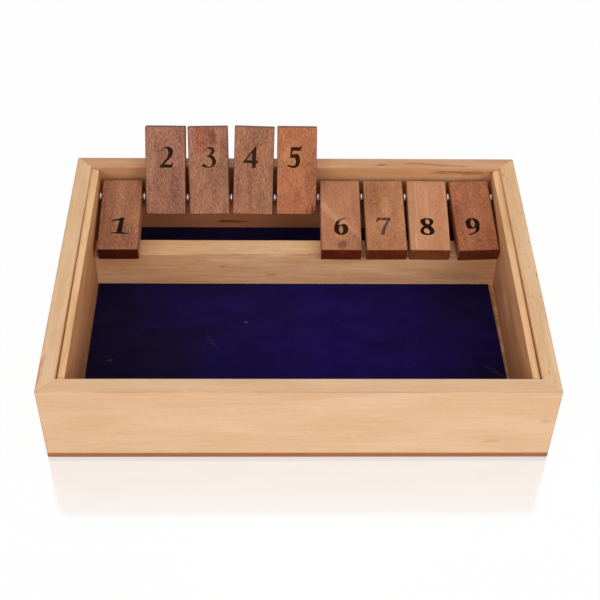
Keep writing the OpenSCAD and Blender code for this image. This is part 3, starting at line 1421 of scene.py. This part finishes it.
@dataclass
class Hinge:
    """The steel rod and the bright rings that space the tiles along it."""

    ring_bore: float = 0.00155
    turns: int = 48
    section_sides: int = 32
    rod_finish: Metal = Metal(
        name="rod_steel",
        colour=srgb(190, 190, 192),
        dull=srgb(120, 116, 112),
        rough=0.26,
        scratch=(0.004, 0.0002, 0.0002),
    )
    ring_finish: Metal = Metal(
        name="ring_metal",
        colour=srgb(206, 206, 210),
        dull=srgb(140, 138, 140),
        rough=0.2,
        scratch=(0.0003, 0.0012, 0.0012),
    )

    def build(self) -> None:
        """Dresses the rod, and builds the rings."""
        rod = frame["nodes"]["hinge_rod"]
        rod.data.materials.clear()
        rod.data.materials.append(self.rod_finish.material())
        log.info("hinge_rod keeps its CAD shape in %s", self.rod_finish.name)
        ring_low, ring_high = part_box("spacer_rings")
        metal = self.ring_finish.material()
        first = self.ring("spacer_ring_1", ring_low, ring_high)
        rings = [first]
        for number in range(2, Tiles.COUNT + 2):
            take(first)
            bpy.ops.object.duplicate(linked=False)
            ring = name_new(f"spacer_ring_{number}")
            ring.location.x = (number - 1) * Tiles.pitch()
            fix_place(ring)
            rings.append(ring)
        for ring in rings:
            hand_over(ring, "case", "ring_metal", metal, "spacer_rings")

    def ring(self, name: str, low: Vector, high: Vector) -> Piece:
        """The leftmost ring, spun round the rod's axis from its section.

        Args:
            name: The piece's name.
            low: Lowest corner of the space that the rings take.
            high: Highest corner of that space.

        Returns:
            The ring.
        """
        axis = Vector((low.x + Tiles.RING_WIDTH / 2, (low.y + high.y) / 2, (low.z + high.z) / 2))
        outer = (high.z - low.z) / 2
        section_height = axis.z + outer - Tiles.RING_WIDTH / 2
        bpy.ops.object.select_all(action="DESELECT")
        bpy.ops.mesh.primitive_circle_add(
            vertices=self.section_sides,
            radius=Tiles.RING_WIDTH / 2,
            location=(axis.x, axis.y, section_height),
            rotation=(math.pi / 2, 0, 0),
        )
        ring = name_new(name)
        fix_place(ring)
        bore_height = axis.z + self.ring_bore
        with editing(ring):
            bpy.ops.mesh.bisect(plane_co=(0, 0, bore_height), plane_no=(0, 0, -1), clear_outer=True)
            pick("VERT", lambda point: abs(point.z - bore_height) < TOUCH)
            bpy.ops.mesh.edge_face_add()
            bpy.ops.mesh.select_all(action="SELECT")
            bpy.ops.mesh.spin(steps=self.turns, angle=2 * math.pi, center=axis, axis=(1, 0, 0))
            bpy.ops.mesh.select_all(action="SELECT")
            bpy.ops.mesh.remove_doubles(threshold=MERGE)
            bpy.ops.mesh.normals_make_consistent(inside=False)
        take(ring)
        bpy.ops.object.shade_smooth_by_angle(angle=math.radians(SOFT_ANGLE))
        return ring


@dataclass(frozen=True)
class Numeral:
    """A bold old-style figure, drawn as closed outlines.

    An outline is its control polygon, in hundredths of the figure's height from its lower left corner. A
    plain pair is a sharp corner, and a pair in brackets pulls a round stretch towards itself. A slash parts
    two outlines.
    """

    width: float
    outlines: str
    pull: float = math.sqrt(0.5)
    steps: int = 6

    def rings(self) -> list[list[Vector]]:
        """The outlines as closed rings of points, with the figure's height as 1."""
        return [self.ring(outline) for outline in self.outlines.split(" / ")]

    def ring(self, outline: str) -> list[Vector]:
        """One outline as a closed ring of points.

        Args:
            outline: The control polygon.

        Returns:
            The points in order, centred on the figure's middle.
        """
        found = re.findall(r"(\()?(-?\d+) (-?\d+)\)?", outline)
        centre = Vector((self.width / 2, 50.0, 0.0))
        knots = [
            ((Vector((float(x), float(y), 0.0)) - centre) / 100, bool(bracket)) for bracket, x, y in found
        ]
        points = []
        for index, (knot, is_round) in enumerate(knots):
            before, before_round = knots[index - 1]
            after, after_round = knots[(index + 1) % len(knots)]
            if not is_round:
                points.append(knot)
                continue
            start = (before + knot) / 2 if before_round else before
            end = (knot + after) / 2 if after_round else after
            for step in range(0 if before_round else 1, self.steps):
                share = step / self.steps
                pulls = ((1 - share) ** 2, self.pull * 2 * share * (1 - share), share**2)
                points.append((start * pulls[0] + knot * pulls[1] + end * pulls[2]) / sum(pulls))
        return points


NUMERALS = {
    1: Numeral(
        80,
        "60 97 54 16 (55 8) 86 5 86 1 2 5 2 9 (30 9) 30 16 38 74 (39 84) (28 77) 6 75 5 81 54 97",
    ),
    2: Numeral(
        66,
        "5 -3 5 0 41 44 (47 52) (47 87) (21 87) 16 72 13 74 (19 94) (69 94) (69 56) (51 36) 27 13"
        " (51 11) (61 12) 67 23 71 24 62 -3",
    ),
    3: Numeral(
        66,
        "14 74 (20 93) (64 93) (64 62) 47 56 (69 52) (69 -3) (3 -3) (3 15) (19 15) (24 3) (51 2) (51 48)"
        " 25 49 25 52 (46 56) (46 87) (21 87) 17 73",
    ),
    4: Numeral(68, "60 97 60 32 68 32 68 19 60 19 60 -3 41 -3 41 19 0 19 0 24 55 97 / 41 32 15 32 41 68"),
    5: Numeral(
        67,
        "67 100 58 77 23 77 20 60 (28 63) (57 63) (57 -3) (7 -3) -3 8 1 14 (12 7) (38 7) (38 45) (18 45)"
        " 10 43 15 94 56 94 63 101",
    ),
    6: Numeral(
        65,
        "54 100 (20 90) (0 62) (0 -1) (65 -1) (65 62) (31 62) 20 56 (24 80) (37 88) 55 96"
        " / (22 53) (22 8) (41 8) (41 53)",
    ),
    7: Numeral(
        69,
        "6 100 0 75 5 75 (9 84) (20 84) 50 84 33 48 (19 22) 17 1 36 1 (38 28) (48 50) 69 95 69 100",
    ),
    8: Numeral(
        64,
        "48 54 (63 62) (63 98) (2 98) (2 62) 17 51 (-1 40) (-1 -1) (65 -1) (65 41)"
        " / (23 90) (44 90) (46 61) (27 62)"
        " / (15 39) (37 39) (48 8) (17 8)",
    ),
    9: Numeral(
        65,
        "10 -1 (45 9) (65 37) (65 100) (0 100) (0 37) (34 37) 45 42 (43 23) (27 13) 8 7"
        " / (43 46) (43 91) (24 91) (24 46)",
    ),
}


@dataclass(frozen=True)
class Tile:
    """One number tile: how it rests, the colours of its wood, and how its figures were printed."""

    number: int
    stands: bool
    skew: float
    speckle: float
    light: Colour
    dark: Colour
    end: Colour
    ink: Colour
    marks: tuple[Mark, ...]
    print_shift: float = 0.0
    wear: float = 0.15
    even_speckle: float = 0.66
    pore_gain: float = 0.4
    glint_gains: Triple = (1.4, 1.5, 1.65)

    @property
    def wood(self) -> Rosewood:
        """The tile's wood, whose pores are darker and whose glints are paler than its bands.

        Returns:
            The finish.
        """
        return Rosewood(
            name=f"rosewood_tile_{self.number}",
            light=self.light,
            dark=self.dark,
            pore=(*(self.pore_gain * level for level in self.dark[:3]), 1.0),
            glint=(*(gain * level for gain, level in zip(self.glint_gains, self.light)), 1.0),
            end=self.end,
            plank=TILE_PLANKS + self.number,
            figure=self.speckle / self.even_speckle,
            speckle=self.speckle,
            marks=self.marks,
        )


TILES = (
    Tile(
        1, stands=False, skew=0.4, speckle=0.58, wear=0.25,
        light=srgb(179, 117, 81), dark=srgb(139, 84, 58), end=srgb(80, 28, 6), ink=srgb(26, 12, 6),
        marks=(
            Mark(srgb(126, 62, 36), at=(6.0, -9.6, 4.6), size=(60.0, 3.6, 12.0), share=0.55),
            Mark(srgb(128, 72, 44), at=(37.0, 0.0, 4.6), size=(14.0, 26.0, 12.0), share=0.5),
            Mark(srgb(188, 128, 92), at=(8.0, -1.0, 4.6), size=(30.0, 6.0, 8.0), share=0.4),
            Mark(srgb(112, 74, 62), at=(27.0, 3.0, 4.6), size=(15.0, 9.0, 6.0), share=0.45, torn=0.25),
        ),
    ),
    Tile(
        2, stands=True, skew=0.4, speckle=0.8, wear=0.3,
        light=srgb(174, 117, 88), dark=srgb(141, 90, 70), end=srgb(84, 36, 18), ink=srgb(40, 20, 10),
        marks=(
            Mark(srgb(112, 68, 58), at=(2.0, 5.9, -4.6), size=(30.0, 10.0, 12.0), share=0.6),
            Mark(srgb(118, 72, 58), at=(36.0, 7.5, -4.6), size=(16.0, 8.0, 12.0), share=0.5),
            Mark(srgb(186, 138, 114), at=(22.0, -8.0, -4.6), size=(40.0, 4.5, 12.0), share=0.3),
            Mark(srgb(156, 98, 92), at=(28.0, 6.0, -4.6), size=(26.0, 9.0, 6.0), share=0.45, torn=0.2),
        ),
    ),
    Tile(
        3, stands=True, skew=-1.0, speckle=0.8, wear=0.5,
        light=srgb(172, 117, 88), dark=srgb(141, 90, 68), end=srgb(90, 36, 18), ink=srgb(48, 22, 12),
        marks=(
            Mark(srgb(142, 78, 56), at=(35.0, -1.0, -4.6), size=(20.0, 17.0, 8.0), share=0.6, torn=0.3),
            Mark(srgb(180, 76, 50), at=(34.0, -3.8, -4.6), size=(20.0, 3.4, 8.0), slant=-3.0, share=0.65),
            Mark(srgb(174, 76, 48), at=(29.0, -6.4, -4.6), size=(14.0, 3.0, 8.0), share=0.45),
            Mark(srgb(128, 50, 32), at=(36.0, 2.6, -4.6), size=(12.0, 5.0, 8.0), share=0.75),
            Mark(srgb(186, 118, 82), at=(6.0, -7.5, -4.6), size=(34.0, 5.0, 12.0), share=0.5),
        ),
    ),
    Tile(
        4, stands=True, skew=1.6, speckle=0.8, print_shift=-0.00197,
        light=srgb(178, 120, 87), dark=srgb(145, 92, 69), end=srgb(90, 40, 20), ink=srgb(52, 30, 20),
        marks=(
            Mark(srgb(120, 80, 60), at=(37.0, 4.0, -4.6), size=(16.0, 14.0, 12.0), share=0.5, torn=0.3),
            Mark(srgb(128, 84, 66), at=(4.0, 3.6, -4.6), size=(28.0, 3.0, 12.0), share=0.4),
            Mark(srgb(192, 110, 66), at=(27.7, 3.7, -4.6), size=(9.0, 3.4, 8.0), share=0.7),
        ),
    ),
    Tile(
        5, stands=True, skew=0.4, speckle=0.62, print_shift=-0.00112,
        light=srgb(194, 122, 81), dark=srgb(163, 97, 61), end=srgb(100, 40, 20), ink=srgb(54, 22, 8),
        marks=(
            Mark(srgb(146, 82, 54), at=(12.0, 9.0, -4.6), size=(48.0, 8.0, 12.0), slant=-5.0, share=0.65),
            Mark(srgb(66, 28, 20), at=(-7.5, 11.5, -4.6), size=(9.0, 8.0, 12.0), share=0.7),
            Mark(srgb(206, 142, 98), at=(25.0, -4.0, -4.6), size=(14.0, 9.0, 12.0), share=0.5),
        ),
    ),
    Tile(
        6, stands=False, skew=-0.2, speckle=0.38, print_shift=0.00017, wear=0.1,
        light=srgb(190, 128, 90), dark=srgb(166, 104, 68), end=srgb(110, 38, 15), ink=srgb(46, 16, 2),
        marks=(
            Mark(
                srgb(210, 158, 122), at=(14.0, -6.0, 4.6),
                size=(34.0, 5.0, 8.0), slant=-38.0, share=0.55, torn=0.3,
            ),
            Mark(
                srgb(204, 146, 116), at=(24.0, 5.0, 4.6),
                size=(24.0, 3.0, 8.0), slant=-38.0, share=0.5, torn=0.3,
            ),
            Mark(
                srgb(108, 64, 42), at=(37.4, 0.4, 4.6),
                size=(8.0, 9.0, 8.0), slant=-38.0, share=0.85, torn=0.25,
            ),
            Mark(srgb(136, 82, 52), at=(37.0, 10.0, 4.6), size=(16.0, 7.0, 8.0), share=0.6),
        ),
    ),
    Tile(
        7, stands=False, skew=0.4, speckle=0.5, print_shift=-0.00095, wear=1.0,
        light=srgb(190, 128, 86), dark=srgb(160, 100, 62), end=srgb(118, 48, 20), ink=srgb(58, 34, 22),
        marks=(
            Mark(srgb(136, 82, 50), at=(0.0, -6.0, 4.6), size=(24.0, 13.0, 12.0), share=0.5),
            Mark(srgb(202, 146, 104), at=(10.0, 1.0, 4.6), size=(26.0, 6.0, 12.0), share=0.5),
            Mark(srgb(166, 98, 62), at=(36.0, 4.0, 4.6), size=(16.0, 14.0, 12.0), share=0.5),
        ),
    ),
    Tile(
        8, stands=False, skew=-0.6, speckle=0.28, print_shift=-0.00108, wear=0.05,
        light=srgb(206, 145, 106), dark=srgb(184, 122, 83), end=srgb(140, 70, 34), ink=srgb(28, 8, 0),
        marks=(
            Mark(srgb(222, 168, 130), at=(7.0, -6.5, 4.6), size=(36.0, 1.4, 8.0), share=0.4),
            Mark(srgb(222, 168, 128), at=(2.0, -0.4, 4.6), size=(26.0, 1.2, 8.0), share=0.45),
            Mark(srgb(228, 178, 142), at=(35.0, -7.5, 4.6), size=(16.0, 1.2, 8.0), share=0.5),
            Mark(srgb(198, 130, 88), at=(16.0, 6.0, 4.6), size=(30.0, 5.0, 8.0), share=0.5),
        ),
    ),
    Tile(
        9, stands=False, skew=2.5, speckle=0.62, print_shift=-0.00143, wear=0.1,
        light=srgb(181, 110, 72), dark=srgb(147, 82, 52), end=srgb(112, 52, 25), ink=srgb(24, 8, 0),
        marks=(
            Mark(srgb(136, 66, 40), at=(16.0, -9.4, 4.6), size=(34.0, 4.4, 12.0), share=0.6),
            Mark(srgb(192, 122, 86), at=(16.0, 2.3, 4.6), size=(20.0, 9.0, 12.0), share=0.5),
            Mark(srgb(150, 80, 54), at=(34.0, 8.0, 4.6), size=(18.0, 6.0, 12.0), share=0.5),
        ),
    ),
)


@dataclass
class Tiles:
    """The nine number tiles, left to right, each swinging on the rod.

    A standing tile leans back and a lying one dips, both in degrees. The tail is what reaches past the rod.
    """

    length: float = 0.05
    thickness: float = 0.0092
    tail: float = 0.0091
    ease: float = 0.0004
    bore_fit: float = 0.00008
    lean: float = 33.0
    dip: float = 11.0
    figure_height: float = 0.0123
    figure_centre: float = 0.0168
    ink_height: float = 0.00003
    ink_depth: float = 0.00003
    tiles: tuple[Tile, ...] = TILES

    COUNT = len(TILES)
    RING_WIDTH = 0.002
    GAP = 0.00234

    @staticmethod
    def pitch() -> float:
        """Distance from one tile's middle to the next."""
        low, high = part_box("spacer_rings")
        return (high.x - low.x - Tiles.RING_WIDTH) / Tiles.COUNT

    @property
    def width(self) -> float:
        """Width of a tile."""
        return self.pitch() - self.GAP

    def build(self) -> None:
        """Builds the tiles and their figures."""
        rod_low, rod_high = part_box("hinge_rod")
        axis = (rod_low + rod_high) / 2
        radius = (rod_high.z - rod_low.z) / 2 + self.bore_fit
        for tile in self.tiles:
            name = f"tile_{tile.number}"
            swing = -self.lean if tile.stands else 90.0 + self.dip
            centre = Vector(((tile.number - (self.COUNT + 1) / 2) * self.pitch(), axis.y, axis.z))
            place = (
                Matrix.Translation(centre)
                @ Matrix.Rotation(math.radians(swing), 4, "X")
                @ Matrix.Rotation(math.radians(tile.skew), 4, "Y")
            )
            block = self.block(tile, radius)
            self.settle(block, place)
            smooth(block)
            hand_over(block, name, self.slot_of(name), tile.wood.material(), name)
            ink = Ink(f"number_ink_{tile.number}", black=tile.ink, wear=tile.wear).material()
            for face in Face:
                figure = self.figure(tile, face)
                self.settle(figure, place)
                hand_over(figure, name, "number_ink", ink)

    @staticmethod
    def slot_of(node: str) -> str:
        """The record's material slot of a tile's wood.

        Args:
            node: The tile's CAD node.

        Returns:
            The slot's name.
        """
        materials = frame["record"]["materials"]
        return next((entry["slot"] for entry in materials if node in entry.get("nodes", [])), "rosewood")

    def settle(self, piece: Piece, place: Matrix) -> None:
        """Moves a piece that was made in a tile's own frame to the tile's place.

        Args:
            piece: The piece.
            place: The tile's place.
        """
        piece.matrix_world = place
        fix_place(piece)

    def block(self, tile: Tile, radius: float) -> Piece:
        """A tile's wood in its own frame, with the rod's axis through the origin.

        Args:
            tile: The tile.
            radius: The bore's radius.

        Returns:
            The block.
        """
        low = Vector((-self.width / 2, -self.thickness / 2, -self.tail))
        high = Vector((self.width / 2, self.thickness / 2, self.length - self.tail))
        block = add_block(f"tile_{tile.number}_wood", low, high)
        with editing(block):
            ease_edges(lambda start, end: True, self.ease)
        turn = Matrix.Rotation(math.radians(90.0 - tile.skew), 4, "Y")
        bore(block, Vector(), turn, radius, 2 * self.width)
        lay_grain(block, Grain.ALONG_Z, TILE_PLANKS + tile.number)
        mark_edge_wear_and_shade(block, low, high, reach=self.ease)
        return block

    def figure(self, tile: Tile, face: Face) -> Piece:
        """A tile's number on one of its broad faces, in the tile's own frame.

        Args:
            tile: The tile.
            face: The face.

        Returns:
            The figure as a thin plate of ink.
        """
        numeral = NUMERALS[tile.number]
        name = f"number_{tile.number}_{face.name.lower()}"
        drawing = bpy.data.curves.new(name, "CURVE")
        drawing.dimensions = "2D"
        drawing.fill_mode = "BOTH"
        drawing.extrude = (self.ink_height + self.ink_depth) / 2
        for ring in numeral.rings():
            spline = drawing.splines.new("POLY")
            spline.points.add(len(ring) - 1)
            for point, knot in zip(spline.points, ring):
                point.co = (*(knot * self.figure_height), 1.0)
            spline.use_cyclic_u = True
        figure = bpy.data.objects.new(name, drawing)
        bpy.context.scene.collection.objects.link(figure)
        take(figure)
        bpy.ops.object.convert(target="MESH")
        figure = bpy.context.active_object
        figure.data.name = name
        level = self.thickness / 2 + (self.ink_height - self.ink_depth) / 2
        upright = Matrix.Rotation(-face.value * math.pi / 2, 4, "X")
        height = self.length - self.tail - self.figure_centre
        shift = Matrix.Translation((tile.print_shift, face.value * level, height))
        figure.matrix_world = shift @ upright
        fix_place(figure)
        with editing(figure):
            bpy.ops.mesh.remove_doubles(threshold=MERGE)
            bpy.ops.mesh.normals_make_consistent(inside=False)
        lay_grain(figure, Grain.ALONG_Z, FIGURE_PLANKS + tile.number)
        return figure


# Studio


@dataclass(frozen=True)
class Lamp:
    """A square soft lamp that looks at the box: where it hangs, its side in metres, its power in watts."""

    name: str
    place: Triple
    size: float
    power: float

    def hang(self) -> None:
        """Hangs the lamp."""
        data = bpy.data.lights.new(self.name, "AREA")
        data.size = self.size
        data.energy = self.power
        lamp = bpy.data.objects.new(self.name, data)
        bpy.context.scene.collection.objects.link(lamp)
        lamp.location = self.place
        lamp.rotation_euler = (-Vector(self.place)).to_track_quat("-Z", "Y").to_euler()


@dataclass
class Studio:
    """A pale floor that runs out to white, soft light, and the camera."""

    floor_size: float = 6.0
    floor_colour: Colour = srgb(250, 250, 250)
    floor_glow: float = 0.95
    mirror: float = 0.3
    mirror_rough: float = 0.12
    mirror_reach: float = 0.085
    sky: float = 0.5
    lamps: tuple[Lamp, ...] = (
        Lamp("right_lamp", place=(1.1, -1.2, 0.9), size=0.9, power=10.6),
        Lamp("left_lamp", place=(-1.1, -1.2, 0.9), size=0.9, power=7.8),
        Lamp("top_lamp", place=(0.1, 0.15, 1.6), size=1.0, power=3.5),
    )
    focal_length: float = 72.7
    sensor: float = 36.0
    look_down: float = 44.9136
    look_aside: float = -1.4635
    roll: float = 1.1325
    eye: Triple = (-0.0104543, -0.4697089, 0.4913709)
    nearest: float = 0.01
    furthest: float = 20.0

    def build(self) -> None:
        """Builds the floor, the light and the camera."""
        self.lay_floor()
        self.light_sky()
        for lamp in self.lamps:
            lamp.hang()
        self.place_camera()
        bpy.context.scene.view_settings.view_transform = "Standard"

    def lay_floor(self) -> None:
        """Lays the pale glossy floor, which looks white but keeps the box's shadow and reflection."""
        bpy.ops.object.select_all(action="DESELECT")
        bpy.ops.mesh.primitive_plane_add(size=self.floor_size)
        floor = bpy.context.active_object
        floor.name = "floor"
        desk = Desk("floor")
        seen = desk.direct_view()
        plain = desk.node("BsdfDiffuse", {"Color": self.floor_colour}).outputs["BSDF"]
        glow = desk.node("Emission", {"Color": WHITE, "Strength": 1.0}).outputs["Emission"]
        share = desk.maths("MULTIPLY", seen, self.floor_glow)
        surface = desk.node("MixShader", {0: share, 1: plain, 2: glow}).outputs["Shader"]
        mirror = desk.node("BsdfGlossy", {"Color": WHITE, "Roughness": self.mirror_rough}).outputs["BSDF"]
        share = desk.maths("MULTIPLY", seen, self.near_box(desk))
        surface = desk.node("MixShader", {0: share, 1: surface, 2: mirror}).outputs["Shader"]
        desk.node("OutputMaterial", {"Surface": surface})
        floor.data.materials.append(desk.owner)

    def near_box(self, desk: Desk) -> Socket:
        """The floor's share of reflection, which fades away from the box.

        Args:
            desk: The desk of the floor's material.

        Returns:
            The share.
        """
        half = (cad_high.x, cad_high.y, 1.0)
        aside = desk.vectors("ABSOLUTE", desk.place())["Vector"]
        beyond = desk.vectors("SUBTRACT", aside, half)["Vector"]
        outside = desk.vectors("MAXIMUM", beyond, (0.0, 0.0, 0.0))["Vector"]
        distance = desk.vectors("LENGTH", outside)["Value"]
        return desk.fade(distance, 0.0, self.mirror_reach, self.mirror, 0.0)

    def light_sky(self) -> None:
        """Sets a white sky that lights the box softly and looks white itself."""
        desk = Desk("studio", shelf="worlds")
        bpy.context.scene.world = desk.owner
        inputs = {"Value": desk.direct_view(), "To Min": self.sky, "To Max": 1.0}
        strength = desk.node("MapRange", inputs).outputs["Result"]
        glow = desk.node("Background", {"Color": WHITE, "Strength": strength}).outputs["Background"]
        desk.node("OutputWorld", {"Surface": glow})

    def place_camera(self) -> None:
        """Places the camera where the photograph was taken from."""
        data = bpy.data.cameras.new("camera")
        data.sensor_width = self.sensor
        data.lens = self.focal_length
        data.clip_start = self.nearest
        data.clip_end = self.furthest
        camera = bpy.data.objects.new("camera", data)
        bpy.context.scene.collection.objects.link(camera)
        camera.matrix_world = (
            Matrix.Translation(self.eye)
            @ Matrix.Rotation(math.radians(self.look_aside), 4, "Z")
            @ Matrix.Rotation(math.radians(90.0 - self.look_down), 4, "X")
            @ Matrix.Rotation(math.radians(self.roll), 4, "Z")
        )
        bpy.context.scene.camera = camera


def main() -> None:
    """Builds the studio and the game, piece by piece."""
    logging.basicConfig(level=logging.INFO, format="%(message)s")
    Studio().build()
    for assembly in (Boards(), Liners(), Divider(), Felts(), Hinge(), Tiles()):
        log.info("building %s", type(assembly).__name__)
        assembly.build()


if __name__ == "__main__":
    main()
